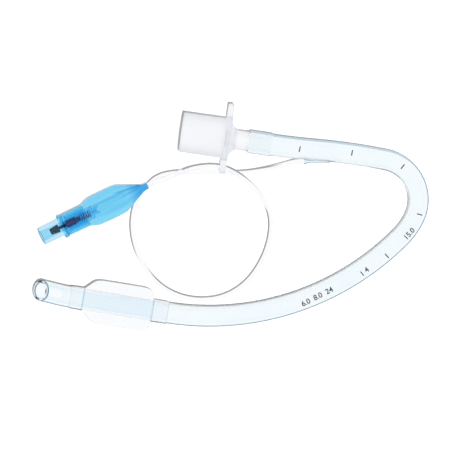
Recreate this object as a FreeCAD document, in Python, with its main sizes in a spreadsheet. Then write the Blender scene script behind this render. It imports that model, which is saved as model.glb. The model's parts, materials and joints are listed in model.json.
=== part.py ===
import FreeCAD, Part
import Sketcher
import math
import os

V = FreeCAD.Vector
doc = FreeCAD.newDocument("breathing_tube")
sheet = doc.addObject("Spreadsheet::Sheet", "sizes")

# Driving dimensions, millimetres and degrees
SIZES = {
    # Shaft section
    "tube_od": 8.0,
    "tube_wall": 1.0,
    "lumen_width": 0.44,
    "overcut": 1.0,
    # Shaft path, from the patient end to the machine end
    "tip_run": 10.8,
    "tip_radius": 45.0,
    "tip_turn": 4.5,
    "cuff_run": 37.5,
    "throat_radius": 103.2,
    "throat_turn": 54.5,
    "mouth_radius": 27.2,
    "mouth_turn": 20.0,
    "chin_radius": 15.6,
    "chin_turn": 104.1,
    "leg_radius": 250.0,
    "leg_turn": 6.4,
    "sway_radius": 250.0,
    "sway_turn": 3.6,
    "end_run": 9.6,
    # Patient end
    "bevel_angle": 51.5,
    "tip_round_share": 0.35,
    "eye_from_tip": 8.2,
    "eye_length": 6.8,
    "eye_width": 3.3,
    # Where the inflation line joins the shaft
    "notch_from_end": 33.8,
    "root_length": 12.0,
    "root_tilt": 7.0,
    "root_tip_od": 0.46,
    "root_neck_od": 1.0,
    "root_cone": 3.0,
    "root_flare": 2.5,
    "root_gap": 0.03,
    "root_relief": 4.0,
    "root_bore": 0.3,
    # Inflation line
    "line_od": 2.0,
    "line_bore": 0.9,
    "exit_run": 3.0,
    "nose_run": 3.0,
    # Cuff
    "cuff_od": 16.6,
    "cuff_wall": 0.15,
    "cuff_start": 0.6,
    "distal_collar": 5.2,
    "proximal_collar": 6.0,
    "belly_length": 26.3,
    "front_cone": 3.4,
    "front_round": 3.0,
    "back_round": 3.4,
    "collar_wall": 0.3,
    "bond_gap": 0.02,
    "port_bore": 0.34,
    # Connector
    "cone_mouth_od": 15.05,
    "cone_length": 10.4,
    "cone_rise": 0.25,
    "land_length": 6.0,
    "barrel_wall": 1.425,
    "barrel_depth": 15.6,
    "flange_thick": 2.2,
    "flange_rim": 1.15,
    "ear_out": 4.6,
    "ear_radius": 3.5,
    "ear_blend": 2.0,
    "flange_ease": 0.3,
    "funnel_od": 13.2,
    "funnel_length": 2.2,
    "funnel_round": 2.5,
    "nipple_step": 0.45,
    "nipple_length": 5.1,
    "spigot_stretch": 0.6,
    "spigot_length": 8.5,
    "spigot_lead": 0.8,
    "spigot_wall": 0.8,
    "bore_throat": 3.4,
    "mouth_lead": 0.4,
    # Syringe port and its valve
    "luer_wall": 1.25,
    "luer_draft": 0.2,
    "luer_length": 8.6,
    "luer_bore": 4.3,
    "luer_taper": 0.06,
    "collar_rim": 0.65,
    "collar_thick": 1.3,
    "seat_length": 0.8,
    "seat_thick": 1.5,
    "stem_gap": 0.35,
    "barrel_gap": 0.05,
    "sleeve_od": 8.2,
    "sleeve_wall": 0.8,
    "sleeve_length": 9.0,
    "web_thick": 1.2,
    "chamber_bore": 3.4,
    "chamber_wall": 0.9,
    "chamber_length": 11.1,
    "floor_thick": 0.8,
    "tail_od": 3.0,
    "tail_bore": 1.2,
    "tail_length": 2.7,
    "tail_notch": 1.2,
    "head_set_back": 4.0,
    "head_length": 3.5,
    "head_gap": 0.55,
    "head_taper": 0.8,
    "stem_od": 1.2,
    "seal_thick": 0.6,
    "seal_gap": 0.02,
    "poppet_gap": 0.25,
    "poppet_length": 3.2,
    "guide_gap": 0.3,
    "guide_length": 1.7,
    "spring_clear": 0.35,
    "wire_od": 0.3,
    "spring_turns": 7,
    "spring_gap": 0.02,
    # Pilot balloon
    "film": 0.3,
    "balloon_width": 11.7,
    "balloon_height": 9.5,
    "shoulder_length": 3.4,
    "balloon_length": 11.9,
    "cone_fall": 8.9,
    "nose_wall": 0.45,
    "nose_pinch": 0.4,
    "nose_length": 2.1,
    "nose_flare": 0.2,
    "corner_ease": 1.6,
    # Where things lie on the table
    "tip_x": -75.7,
    "tip_y": -26.9,
    "tip_heading": -14.0,
    "port_x": -72.9,
    "port_y": -7.3,
    "port_heading": 25.6,
}

for row, (alias, number) in enumerate(SIZES.items(), start=1):
    sheet.set(f"A{row}", alias)
    sheet.set(f"B{row}", str(number))
    sheet.setAlias(f"B{row}", alias)
doc.recompute()


class Size:
    """A number together with the sheet expression that it comes from."""

    def __init__(self, number, text):
        self.number = number
        self.text = text

    def join(self, other, sign, number):
        text = other.text if isinstance(other, Size) else str(other)
        return Size(number, f"({self.text} {sign} {text})")

    def __add__(self, other):
        return self.join(other, "+", self.number + plain(other))

    def __sub__(self, other):
        return self.join(other, "-", self.number - plain(other))

    def __mul__(self, other):
        return self.join(other, "*", self.number * plain(other))

    def __truediv__(self, other):
        return self.join(other, "/", self.number / plain(other))


def plain(value):
    """The bare number of a Size or of a number."""
    return value.number if isinstance(value, Size) else value


def cell(alias):
    """One driving dimension."""
    return Size(float(sheet.get(alias)), f"sizes.{alias}")


def tangent(angle):
    """The tangent of an angle in degrees."""
    return Size(math.tan(math.radians(angle.number)), f"tan({angle.text} * 1 deg)")


ZERO = Size(0.0, "0")


def new_body(name):
    """An empty body, whose label names its file."""
    body = doc.addObject("PartDesign::Body", name)
    body.Label = name
    return body


def new_sketch(body, name, role, offset=None):
    """A sketch on one of the body's own planes, moved along the plane's normal by offset."""
    sketch = body.newObject("Sketcher::SketchObject", name)
    plane = next(item for item in body.Origin.OriginFeatures if item.Role == role)
    sketch.AttachmentSupport = (plane, [""])
    sketch.MapMode = "FlatFace"
    if offset is not None:
        sketch.setExpression("AttachmentOffset.Base.z", offset.text)
        sketch.AttachmentOffset = FreeCAD.Placement(V(0, 0, offset.number), FreeCAD.Rotation())
    return sketch


def bind(sketch, name, constraint, size):
    """Adds a driving constraint whose value is the size's expression."""
    index = sketch.addConstraint(constraint)
    sketch.renameConstraint(index, name)
    sketch.setExpression(f"Constraints.{name}", size.text)


def fix_point(sketch, name, geo, pos, across, up):
    """Fixes a point of the sketch at two sizes from its origin."""
    bind(sketch, name + "_x", Sketcher.Constraint("DistanceX", -1, 1, geo, pos, across.number), across)
    bind(sketch, name + "_y", Sketcher.Constraint("DistanceY", -1, 1, geo, pos, up.number), up)


def outline(sketch, corners):
    """A closed outline through corners, each a pair of sizes and, where it is rounded, a radius."""
    count = len(corners)
    points = [V(corner[0].number, corner[1].number, 0) for corner in corners]
    ways = [(points[(index + 1) % count] - points[index]).normalize() for index in range(count)]
    insets = []
    for index, corner in enumerate(corners):
        turn = ways[index - 1].getAngle(ways[index])
        insets.append(corner[2].number * math.tan(turn / 2) if len(corner) > 2 else 0.0)
    for index in range(count):
        follower = (index + 1) % count
        start = points[index] + ways[index] * insets[index]
        end = points[follower] - ways[index] * insets[follower]
        sketch.addGeometry(Part.LineSegment(start, end), False)
    for index, corner in enumerate(corners):
        before = (index - 1) % count
        if len(corner) == 2:
            sketch.addConstraint(Sketcher.Constraint("Coincident", before, 2, index, 1))
            fix_point(sketch, f"corner{index}", index, 1, corner[0], corner[1])
            continue
        start = points[index] - ways[before] * insets[index]
        end = points[index] + ways[index] * insets[index]
        bisector = (ways[index] - ways[before]).normalize()
        reach = math.hypot(insets[index], corner[2].number) - corner[2].number
        arc = sketch.addGeometry(Part.Arc(start, points[index] + bisector * reach, end), False)
        mark = sketch.addGeometry(Part.Point(points[index]), True)
        left_turn = ways[before].cross(ways[index]).z > 0
        first, last = (1, 2) if left_turn else (2, 1)
        sketch.addConstraint(Sketcher.Constraint("Tangent", before, 2, arc, first))
        sketch.addConstraint(Sketcher.Constraint("Tangent", arc, last, index, 1))
        sketch.addConstraint(Sketcher.Constraint("PointOnObject", mark, 1, before))
        sketch.addConstraint(Sketcher.Constraint("PointOnObject", mark, 1, index))
        fix_point(sketch, f"corner{index}", mark, 1, corner[0], corner[1])
        radius = Sketcher.Constraint("Radius", arc, corner[2].number)
        bind(sketch, f"round{index}", radius, corner[2])


def circle(sketch, diameter, across, up):
    """A circle of the given diameter, centred at two sizes from the sketch's origin."""
    centre = V(across.number, up.number, 0)
    index = sketch.addGeometry(Part.Circle(centre, V(0, 0, 1), diameter.number / 2), False)
    bind(sketch, "diameter", Sketcher.Constraint("Diameter", index, diameter.number), diameter)
    fix_point(sketch, "centre", index, 3, across, up)


def slot(sketch, across, up, length, width):
    """A slot with round ends, centred at two sizes, its length along the sketch's X axis."""
    radius = width / 2
    reach = (length - width) / 2
    left = V(across.number - reach.number, up.number, 0)
    right = V(across.number + reach.number, up.number, 0)
    rise = V(0, radius.number, 0)
    half = math.pi / 2
    sketch.addGeometry(Part.LineSegment(left - rise, right - rise), False)
    sketch.addGeometry(Part.ArcOfCircle(Part.Circle(right, V(0, 0, 1), radius.number), -half, half), False)
    sketch.addGeometry(Part.LineSegment(right + rise, left + rise), False)
    sketch.addGeometry(Part.ArcOfCircle(Part.Circle(left, V(0, 0, 1), radius.number), half, 3 * half), False)
    for geo, pos, follower, start in ((0, 2, 1, 1), (1, 2, 2, 1), (2, 2, 3, 1), (3, 2, 0, 1)):
        sketch.addConstraint(Sketcher.Constraint("Tangent", geo, pos, follower, start))
    bind(sketch, "end_radius", Sketcher.Constraint("Radius", 1, radius.number), radius)
    fix_point(sketch, "right", 1, 3, across + reach, up)
    fix_point(sketch, "left", 3, 3, across - reach, up)


def feature(body, kind, name, sketch, **options):
    """A PartDesign feature made from a sketch."""
    made = body.newObject(f"PartDesign::{kind}", name)
    made.Profile = sketch
    for key, value in options.items():
        setattr(made, key, value)
    sketch.Visibility = False
    doc.recompute()
    return made


def turned(body, name, corners, frame=None, cut=False):
    """Revolves an outline about the frame's X axis, as material or as a cut."""
    sketch = new_sketch(body, name + "_outline", "XY_Plane")
    if frame is not None:
        sketch.AttachmentOffset = frame
    outline(sketch, corners)
    kind = "Groove" if cut else "Revolution"
    return feature(body, kind, name, sketch, ReferenceAxis=(sketch, ["H_Axis"]), Angle=360.0)


def drilled(body, name, sketch, depth):
    """Cuts a sketch into the body, against the sketch's normal."""
    made = feature(body, "Pocket", name, sketch, Length=depth.number)
    made.setExpression("Length", depth.text)
    doc.recompute()
    return made


def dressed(body, kind, name, base, sizing, size, wanted):
    """A fillet or chamfer on the edges of base that pass the test."""
    edges = [f"Edge{index}" for index, edge in enumerate(base.Shape.Edges, start=1) if wanted(edge)]
    made = body.newObject(f"PartDesign::{kind}", name)
    made.Base = (base, edges)
    setattr(made, sizing, size.number)
    made.setExpression(sizing, size.text)
    doc.recompute()
    return made


def rounded(body, name, base, radius, wanted):
    """Fillets the edges of base that pass the test."""
    return dressed(body, "Fillet", name, base, "Radius", radius, wanted)


def eased(body, name, base, size, wanted):
    """Chamfers the edges of base that pass the test."""
    return dressed(body, "Chamfer", name, base, "Size", size, wanted)


# Shaft path: stretches of (kind, length or radius, turn); a negative turn bends away from the loop
PATH = [
    ("run", cell("tip_run"), None, 1),
    ("arc", cell("tip_radius"), cell("tip_turn"), 1),
    ("run", cell("cuff_run"), None, 1),
    ("arc", cell("throat_radius"), cell("throat_turn"), 1),
    ("arc", cell("mouth_radius"), cell("mouth_turn"), 1),
    ("arc", cell("chin_radius"), cell("chin_turn"), 1),
    ("arc", cell("leg_radius"), cell("leg_turn"), 1),
    ("arc", cell("sway_radius"), cell("sway_turn"), -1),
    ("run", cell("end_run"), None, 1),
]


def stretch_length(stretch):
    """Length of one stretch of the path along the shaft's axis."""
    kind, size, turn, _ = stretch
    if kind == "run":
        return size.number
    return size.number * math.radians(turn.number)


def walk(distance):
    """Point and heading on the shaft's axis at a distance from the patient end."""
    x, y, heading = 0.0, 0.0, 0.0
    left = distance
    for stretch in PATH:
        kind, size, turn, side = stretch
        step = min(left, stretch_length(stretch))
        if stretch is PATH[-1]:
            step = left
        if kind == "run":
            x += step * math.cos(heading)
            y += step * math.sin(heading)
        else:
            bend = side * step / size.number
            x += side * size.number * (math.sin(heading + bend) - math.sin(heading))
            y -= side * size.number * (math.cos(heading + bend) - math.cos(heading))
            heading += bend
        left -= step
        if left <= 0:
            break
    return V(x, y, 0), math.degrees(heading)


SHAFT_LENGTH = sum(stretch_length(stretch) for stretch in PATH)
CUFF_AT = stretch_length(PATH[0]) + stretch_length(PATH[1]) + cell("cuff_start").number


def frame_at(distance, sideways=0.0, swing=0.0):
    """Placement on the shaft's axis, with X along it, moved towards the loop and turned."""
    point, heading = walk(distance)
    turn = FreeCAD.Rotation(V(0, 0, 1), heading)
    moved = point + turn.multVec(V(0, sideways, 0))
    return FreeCAD.Placement(moved, FreeCAD.Rotation(V(0, 0, 1), heading + swing))


def spine(body, name, sideways, start, end):
    """Sketch of the path from one station to another, at a sideways distance from the axis."""
    sketch = new_sketch(body, name, "XY_Plane")
    passed = 0.0
    last = None
    for number, stretch in enumerate(PATH):
        kind, size, turn, side = stretch
        length = stretch_length(stretch)
        first, final = max(passed, start), min(passed + length, end)
        passed += length
        if final - first < 1e-6:
            continue
        share = (final - first) / length
        a = frame_at(first, sideways.number).Base
        b = frame_at(final, sideways.number).Base
        if kind == "run":
            index = sketch.addGeometry(Part.LineSegment(a, b), False)
            head, tail = 1, 2
            reach = size * share
            bind(sketch, f"run{number}", Sketcher.Constraint("Distance", index, reach.number), reach)
        else:
            mid = frame_at((first + final) / 2, sideways.number).Base
            index = sketch.addGeometry(Part.Arc(a, mid, b), False)
            head, tail = (1, 2) if side > 0 else (2, 1)
            bend = size - sideways * side
            sweep = turn * share
            bind(sketch, f"radius{number}", Sketcher.Constraint("Radius", index, bend.number), bend)
            angle = Sketcher.Constraint("Angle", index, math.radians(sweep.number))
            bind(sketch, f"turn{number}", angle, sweep)
        if last is None:
            heading = walk(first)[1]
            sketch.addConstraint(Sketcher.Constraint("DistanceX", -1, 1, index, head, a.x))
            sketch.addConstraint(Sketcher.Constraint("DistanceY", -1, 1, index, head, a.y))
            sketch.addConstraint(Sketcher.Constraint("Angle", index, math.radians(heading)))
        else:
            sketch.addConstraint(Sketcher.Constraint("Tangent", last[0], last[1], index, head))
        last = (index, tail)
    return sketch


def sketch_across(body, name, station, sideways):
    """A sketch across the path at a station, for a feature that follows the path from there."""
    sketch = new_sketch(body, name, "YZ_Plane")
    place = frame_at(station, sideways.number)
    heading = walk(station)[1]
    turn = FreeCAD.Rotation(V(0, 1, 0), heading)
    sketch.AttachmentOffset = FreeCAD.Placement(V(place.Base.y, 0, place.Base.x), turn)
    return sketch


# Shaft: one extruded tube, bevelled at the tip, with an eye in the wall opposite the bevel
tube_radius = cell("tube_od") / 2
wall = cell("tube_wall")
bore_radius = tube_radius - wall
lumen_offset = tube_radius - wall / 2
spigot_radius = bore_radius + cell("spigot_stretch") / 2
overcut = cell("overcut")
machine_end = frame_at(SHAFT_LENGTH)
notch_station = SHAFT_LENGTH - cell("notch_from_end").number
port_station = CUFF_AT + cell("distal_collar").number + cell("belly_length").number / 2
root_frame = frame_at(notch_station, lumen_offset.number, cell("root_tilt").number)

root_tip = cell("root_tip_od") / 2
root_neck = cell("root_neck_od") / 2
line_radius = cell("line_od") / 2
root_end = cell("root_length")
root_neck_end = root_end - cell("root_flare")


def make_shaft():
    body = new_body("tube_shaft")
    path = spine(body, "path", ZERO, 0.0, SHAFT_LENGTH - cell("end_run").number)
    rod_ring = sketch_across(body, "rod_ring", 0.0, ZERO)
    circle(rod_ring, cell("tube_od"), ZERO, ZERO)
    feature(body, "AdditivePipe", "rod", rod_ring, Spine=path)
    bore_ring = sketch_across(body, "bore_ring", 0.0, ZERO)
    circle(bore_ring, bore_radius * 2, ZERO, ZERO)
    feature(body, "SubtractivePipe", "bore", bore_ring, Spine=path)
    seat = spigot_radius + cell("bond_gap")
    turned(body, "stretched_end", [
        (ZERO - cell("end_run"), bore_radius),
        (ZERO - cell("end_run"), tube_radius),
        (ZERO - cell("spigot_length"), seat + wall),
        (ZERO, seat + wall),
        (ZERO, seat),
        (ZERO - cell("spigot_length"), seat),
    ], machine_end)

    # The lumen is drawn with flat sides, which keeps its long bends light
    lumen_path = spine(body, "lumen_path", lumen_offset, port_station, notch_station)
    lumen_section = sketch_across(body, "lumen_section", port_station, lumen_offset)
    half = cell("lumen_width") / 2
    outline(lumen_section, [
        (ZERO - half, ZERO - half),
        (half, ZERO - half),
        (half, half),
        (ZERO - half, half),
    ])
    feature(body, "SubtractivePipe", "lumen", lumen_section, Spine=lumen_path)
    port = new_sketch(body, "port_ring", "XZ_Plane")
    place = frame_at(port_station, lumen_offset.number)
    turn = FreeCAD.Rotation(V(0, 1, 0), walk(port_station)[1])
    port.AttachmentOffset = FreeCAD.Placement(V(place.Base.x, 0, -place.Base.y), turn)
    circle(port, cell("port_bore"), cell("lumen_width"), ZERO)
    drilled(body, "port", port, wall)
    gap = cell("root_gap")
    turned(body, "notch", [
        (ZERO - gap, ZERO),
        (ZERO - gap, root_tip + gap),
        (cell("root_cone"), root_neck + gap),
        (root_neck_end, root_neck + gap),
        (root_end, line_radius + gap),
        (root_end + cell("root_relief"), line_radius + gap),
        (root_end + cell("root_relief"), ZERO),
    ], root_frame, cut=True)

    eye = new_sketch(body, "eye_outline", "XY_Plane")
    slot(eye, cell("eye_from_tip"), ZERO, cell("eye_length"), cell("eye_width"))
    drilled(body, "eye", eye, cell("tube_od"))
    bevel_run = cell("tube_od") / tangent(cell("bevel_angle"))
    bevel = new_sketch(body, "bevel_outline", "XZ_Plane", cell("tube_od"))
    outline(bevel, [
        (ZERO - bevel_run / 4, ZERO - cell("tube_od") * 0.75),
        (bevel_run * 1.25, cell("tube_od") * 0.75),
        (ZERO - bevel_run / 4, cell("tube_od") * 0.75),
    ])
    cut = drilled(body, "bevel", bevel, cell("tube_od") * 2)
    slope = math.tan(math.radians(cell("bevel_angle").number))

    def on_bevel(edge):
        points = [edge.valueAt(edge.FirstParameter + share * (edge.LastParameter - edge.FirstParameter))
                  for share in (0.0, 0.3, 0.7, 1.0)]
        return all(abs(point.z + tube_radius.number - slope * point.x) < 1e-4 for point in points)

    rounded(body, "tip_edge", cut, wall * cell("tip_round_share"), on_bevel)
    return body


# Sine and cosine of the steps of a quarter round that is drawn with straight sides
QUARTER = ((0.0, 1.0), (0.5, 0.866), (0.866, 0.5), (1.0, 0.0))


def stepped(across, up, radius, side):
    """Points of a stepped quarter round about a centre, towards the front with -1, the back with 1."""
    return [(across + radius * (side * sine), up + radius * cosine) for sine, cosine in QUARTER]


def make_cuff():
    """Thin barrel of film with a sleeve at each end that is bonded to the shaft."""
    body = new_body("cuff")
    inner = tube_radius + cell("bond_gap")
    sleeve = inner + cell("collar_wall")
    film = cell("cuff_wall")
    belly = cell("cuff_od") / 2
    front = cell("distal_collar")
    back = front + cell("belly_length")
    end = back + cell("proximal_collar")
    swell, turn_in = cell("front_round"), cell("back_round")
    front_centre = front + cell("front_cone") + swell / 2
    back_centre = back - turn_in
    outside = stepped(front_centre, belly - swell, swell, -1)[1::-1]
    outside += stepped(back_centre, belly - turn_in, turn_in, 1)
    inside = stepped(back_centre, belly - turn_in, turn_in - film, 1)[::-1]
    inside += stepped(front_centre, belly - swell, swell - film, -1)[:2]
    turned(body, "film", [
        (ZERO, inner),
        (ZERO, sleeve),
        (front, sleeve),
        *outside,
        (back, sleeve),
        (end, sleeve),
        (end, inner),
        (back - film, inner),
        *inside,
        (front + film, inner),
    ])
    return body


def make_connector():
    """Moulded cone with an eared flange, a funnel and a nipple that the shaft is pushed over."""
    body = new_body("connector")
    flange_at = cell("nipple_length") + cell("funnel_length")
    barrel_at = flange_at + cell("flange_thick")
    cone_at = barrel_at + cell("land_length")
    mouth_at = cone_at + cell("cone_length")
    land = cell("cone_mouth_od") / 2 + cell("cone_rise") / 2
    flange = land + cell("flange_rim")
    nipple = spigot_radius + cell("nipple_step")
    start = ZERO - cell("spigot_length")
    turned(body, "cone_and_nipple", [
        (start, ZERO),
        (start, spigot_radius - cell("spigot_lead") / 4),
        (start + cell("spigot_lead"), spigot_radius),
        (ZERO, spigot_radius),
        (ZERO, nipple),
        (cell("nipple_length"), nipple, cell("funnel_round")),
        (flange_at, cell("funnel_od") / 2),
        (flange_at, flange),
        (barrel_at, flange),
        (barrel_at, land),
        (cone_at, land),
        (mouth_at, cell("cone_mouth_od") / 2),
        (mouth_at, ZERO),
    ])
    ears = new_sketch(body, "ear_outline", "YZ_Plane", flange_at)
    slot(ears, ZERO, ZERO, (flange + cell("ear_out")) * 2, cell("ear_radius") * 2)
    ear_pad = feature(body, "Pad", "ears", ears, Length=cell("flange_thick").number)
    ear_pad.setExpression("Length", cell("flange_thick").text)
    doc.recompute()

    def ear_corner(edge):
        box = edge.BoundBox
        middle = box.Center
        reach = math.hypot(middle.y, middle.z)
        along = abs(box.XLength - cell("flange_thick").number) < 0.01
        return along and box.YLength < 0.01 and abs(reach - flange.number) < 0.05

    blended = rounded(body, "ear_roots", ear_pad, cell("ear_blend"), ear_corner)

    def flange_rim(edge):
        box = edge.BoundBox
        flat = box.XLength < 1e-4
        place = box.Center.x
        on_face = abs(place - flange_at.number) < 1e-3 or abs(place - barrel_at.number) < 1e-3
        middle = edge.valueAt((edge.FirstParameter + edge.LastParameter) / 2)
        beyond = land + cell("flange_rim") / 4
        return flat and on_face and math.hypot(middle.y, middle.z) > beyond.number

    eased(body, "flange_edge", blended, cell("flange_ease"), flange_rim)
    throat_at = mouth_at - cell("barrel_depth")
    gas_bore = spigot_radius - cell("spigot_wall")
    barrel_bore = cell("cone_mouth_od") / 2 - cell("barrel_wall")
    turned(body, "gas_way", [
        (start - overcut, ZERO),
        (start - overcut, gas_bore),
        (throat_at - cell("bore_throat"), gas_bore),
        (throat_at, barrel_bore),
        (mouth_at - cell("mouth_lead"), barrel_bore),
        (mouth_at, barrel_bore + cell("mouth_lead")),
        (mouth_at + overcut, barrel_bore + cell("mouth_lead")),
        (mouth_at + overcut, ZERO),
    ], cut=True)
    return body


def make_line_root():
    """The line's own end, drawn down to a spigot and bonded in its notch."""
    body = new_body("line_root")
    turned(body, "drawn_end", [
        (ZERO, ZERO),
        (ZERO, root_tip),
        (cell("root_cone"), root_neck),
        (root_neck_end, root_neck),
        (root_end, line_radius),
        (root_end, ZERO),
    ])
    turned(body, "root_bore", [
        (ZERO - overcut, ZERO),
        (ZERO - overcut, cell("root_bore") / 2),
        (root_end + overcut, cell("root_bore") / 2),
        (root_end + overcut, ZERO),
    ], cut=True)
    return body


# Valve in the neck of the pilot balloon; X runs from the syringe's mouth towards the balloon
collar_face = cell("luer_length") + cell("collar_thick")
seat_face = collar_face + cell("seat_length")
chamber_floor = collar_face + cell("chamber_length")
chamber_radius = cell("chamber_bore") / 2
sleeve_radius = cell("sleeve_od") / 2
collar_radius = sleeve_radius + cell("collar_rim")
stem_radius = cell("stem_od") / 2
poppet_radius = chamber_radius - cell("poppet_gap")
spring_radius = chamber_radius - cell("spring_clear")
poppet_face = seat_face + cell("seal_thick")
poppet_back = poppet_face + cell("poppet_length")


def make_luer_port():
    """Syringe port with its collar, and the valve seat on its inner end."""
    body = new_body("luer_port")
    mouth = cell("luer_bore") / 2
    outside = mouth + cell("luer_wall")
    depth = seat_face - cell("seat_thick")
    stem_way = stem_radius + cell("stem_gap")
    turned(body, "port_and_seat", [
        (ZERO, mouth),
        (ZERO, outside),
        (cell("luer_length"), outside + cell("luer_draft") / 2),
        (cell("luer_length"), collar_radius),
        (collar_face, collar_radius),
        (collar_face, chamber_radius - cell("barrel_gap")),
        (seat_face, chamber_radius - cell("barrel_gap")),
        (seat_face, stem_way),
        (depth, stem_way),
        (depth, mouth - cell("luer_taper") * depth / 2),
    ])
    return body


def make_valve_body():
    """Spring chamber with an outer sleeve for the balloon's neck and a notched tail."""
    body = new_body("valve_body")
    sleeve_inside = sleeve_radius - cell("sleeve_wall")
    sleeve_end = collar_face + cell("sleeve_length")
    web = collar_face + cell("web_thick")
    chamber_outside = chamber_radius + cell("chamber_wall")
    floor_back = chamber_floor + cell("floor_thick")
    tail_end = floor_back + cell("tail_length")
    turned(body, "chamber", [
        (collar_face, chamber_radius),
        (collar_face, sleeve_radius),
        (sleeve_end, sleeve_radius),
        (sleeve_end, sleeve_inside),
        (web, sleeve_inside),
        (web, chamber_outside),
        (floor_back, chamber_outside),
        (floor_back, cell("tail_od") / 2),
        (tail_end, cell("tail_od") / 2),
        (tail_end, cell("tail_bore") / 2),
        (chamber_floor, cell("tail_bore") / 2),
        (chamber_floor, chamber_radius),
    ])
    notch = new_sketch(body, "tail_notch_outline", "XY_Plane", cell("tail_od"))
    outline(notch, [
        (tail_end - cell("tail_notch"), ZERO),
        (tail_end + overcut, cell("tail_notch") + overcut),
        (tail_end + overcut, ZERO - cell("tail_notch") - overcut),
    ])
    drilled(body, "tail_notch_cut", notch, cell("tail_od") * 2)
    return body


def make_plunger():
    """Push head, stem, poppet and the pin that guides the spring, in one moulding."""
    body = new_body("valve_plunger")
    head = cell("head_set_back")
    neck = head + cell("head_length")
    head_radius = cell("luer_bore") / 2 - cell("head_gap")
    guide_radius = spring_radius - cell("wire_od") - cell("guide_gap")
    turned(body, "plunger_body", [
        (head, ZERO),
        (head, head_radius - cell("head_taper") / 2),
        (neck, head_radius),
        (neck, stem_radius),
        (poppet_face, stem_radius),
        (poppet_face, poppet_radius),
        (poppet_back, poppet_radius),
        (poppet_back, guide_radius),
        (poppet_back + cell("guide_length"), guide_radius),
        (poppet_back + cell("guide_length"), ZERO),
    ])
    return body


def make_seal():
    """Soft washer on the poppet that closes against the seat."""
    body = new_body("valve_seal")
    hole = stem_radius + cell("seal_gap")
    turned(body, "washer", [
        (seat_face, hole),
        (seat_face, poppet_radius),
        (poppet_face, poppet_radius),
        (poppet_face, hole),
    ])
    return body


def make_spring():
    """Coil spring between the poppet and the chamber's floor."""
    body = new_body("valve_spring")
    wire = cell("wire_od")
    gap = cell("spring_gap")
    first = poppet_back + gap + wire / 2
    travel = chamber_floor - gap - wire / 2 - first
    across = spring_radius - wire / 2
    section = new_sketch(body, "wire_section", "XY_Plane")
    side, corner = wire * 0.462, wire * 0.191
    outline(section, [
        (first - side, across - corner),
        (first - corner, across - side),
        (first + corner, across - side),
        (first + side, across - corner),
        (first + side, across + corner),
        (first + corner, across + side),
        (first - corner, across + side),
        (first - side, across + corner),
    ])
    coil = body.newObject("PartDesign::AdditiveHelix", "coil")
    coil.Profile = section
    coil.ReferenceAxis = (section, ["H_Axis"])
    coil.Mode = "height-turns-angle"
    coil.Height = travel.number
    coil.setExpression("Height", travel.text)
    coil.Turns = cell("spring_turns").number
    coil.setExpression("Turns", "sizes.spring_turns")
    coil.Angle = 0
    doc.recompute()
    return body


ACROSS = FreeCAD.Rotation(V(0, 1, 0), V(0, 0, 1), V(1, 0, 0), "ZXY")


def lofted(name, sections):
    """A straight-sided solid through ellipses, each given as (station, width, height)."""
    rings = []
    for number, (station, width, height) in enumerate(sections):
        ring = doc.addObject("Part::Ellipse", f"{name}_ring{number}")
        ring.MajorRadius = width.number / 2
        ring.MinorRadius = height.number / 2
        ring.setExpression("MajorRadius", (width / 2).text)
        ring.setExpression("MinorRadius", (height / 2).text)
        ring.Placement = FreeCAD.Placement(V(station.number, 0, 0), ACROSS)
        ring.setExpression("Placement.Base.x", station.text)
        rings.append(ring)
    solid = doc.addObject("Part::Loft", name)
    solid.Sections = rings
    solid.Solid = True
    solid.Ruled = True
    return solid


def make_balloon():
    """Film balloon, welded over the valve's sleeve and gathered to a nose round the line."""
    film = cell("film")
    wide, tall = cell("balloon_width"), cell("balloon_height")
    sleeve = cell("sleeve_od") + cell("bond_gap") * 2
    neck_at = collar_face + cell("bond_gap")
    shoulder = collar_face + cell("sleeve_length")
    full = shoulder + cell("shoulder_length")
    fall = full + cell("balloon_length")
    nose = fall + cell("cone_fall")
    end = nose + cell("nose_length")
    nose_width = cell("line_od") + cell("nose_wall") * 2
    half_way = shoulder + cell("shoulder_length") * 0.45
    rise_w = (wide - sleeve) * 0.72 + sleeve
    rise_t = (tall - sleeve) * 0.72 + sleeve
    ease = cell("corner_ease")
    outer = lofted("balloon_outside", [
        (neck_at, sleeve + film * 2, sleeve + film * 2),
        (shoulder, sleeve + film * 2, sleeve + film * 2),
        (half_way, rise_w, rise_t),
        (full, wide, tall),
        (fall, wide, tall),
        (fall + ease, wide - ease * 0.7, tall - ease * 0.4),
        (nose, nose_width, nose_width),
        (nose + cell("nose_length") / 2, nose_width - cell("nose_pinch"), nose_width - cell("nose_pinch")),
        (end, nose_width - cell("nose_flare"), nose_width - cell("nose_flare")),
    ])
    inner = lofted("balloon_inside", [
        (neck_at - overcut, sleeve, sleeve),
        (shoulder, sleeve, sleeve),
        (half_way, rise_w - film * 2, rise_t - film * 2),
        (full, wide - film * 2, tall - film * 2),
        (fall - film / 2, wide - film * 2, tall - film * 2),
        (fall + ease - film / 2, wide - ease * 0.7 - film * 2, tall - ease * 0.4 - film * 2),
        (nose - film, cell("line_bore") + film, cell("line_bore") + film),
        (end + overcut, cell("line_bore"), cell("line_bore")),
    ])
    shell = doc.addObject("Part::Cut", "pilot_balloon")
    shell.Label = "pilot_balloon"
    shell.Base = outer
    shell.Tool = inner
    doc.recompute()
    return shell, end


def rim_foot(up, place, radius):
    """The point of a round section that lies furthest against up."""
    along = place.Rotation.multVec(V(1, 0, 0))
    side = up - along * up.dot(along)
    return place.Base - side.normalize() * radius


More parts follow.
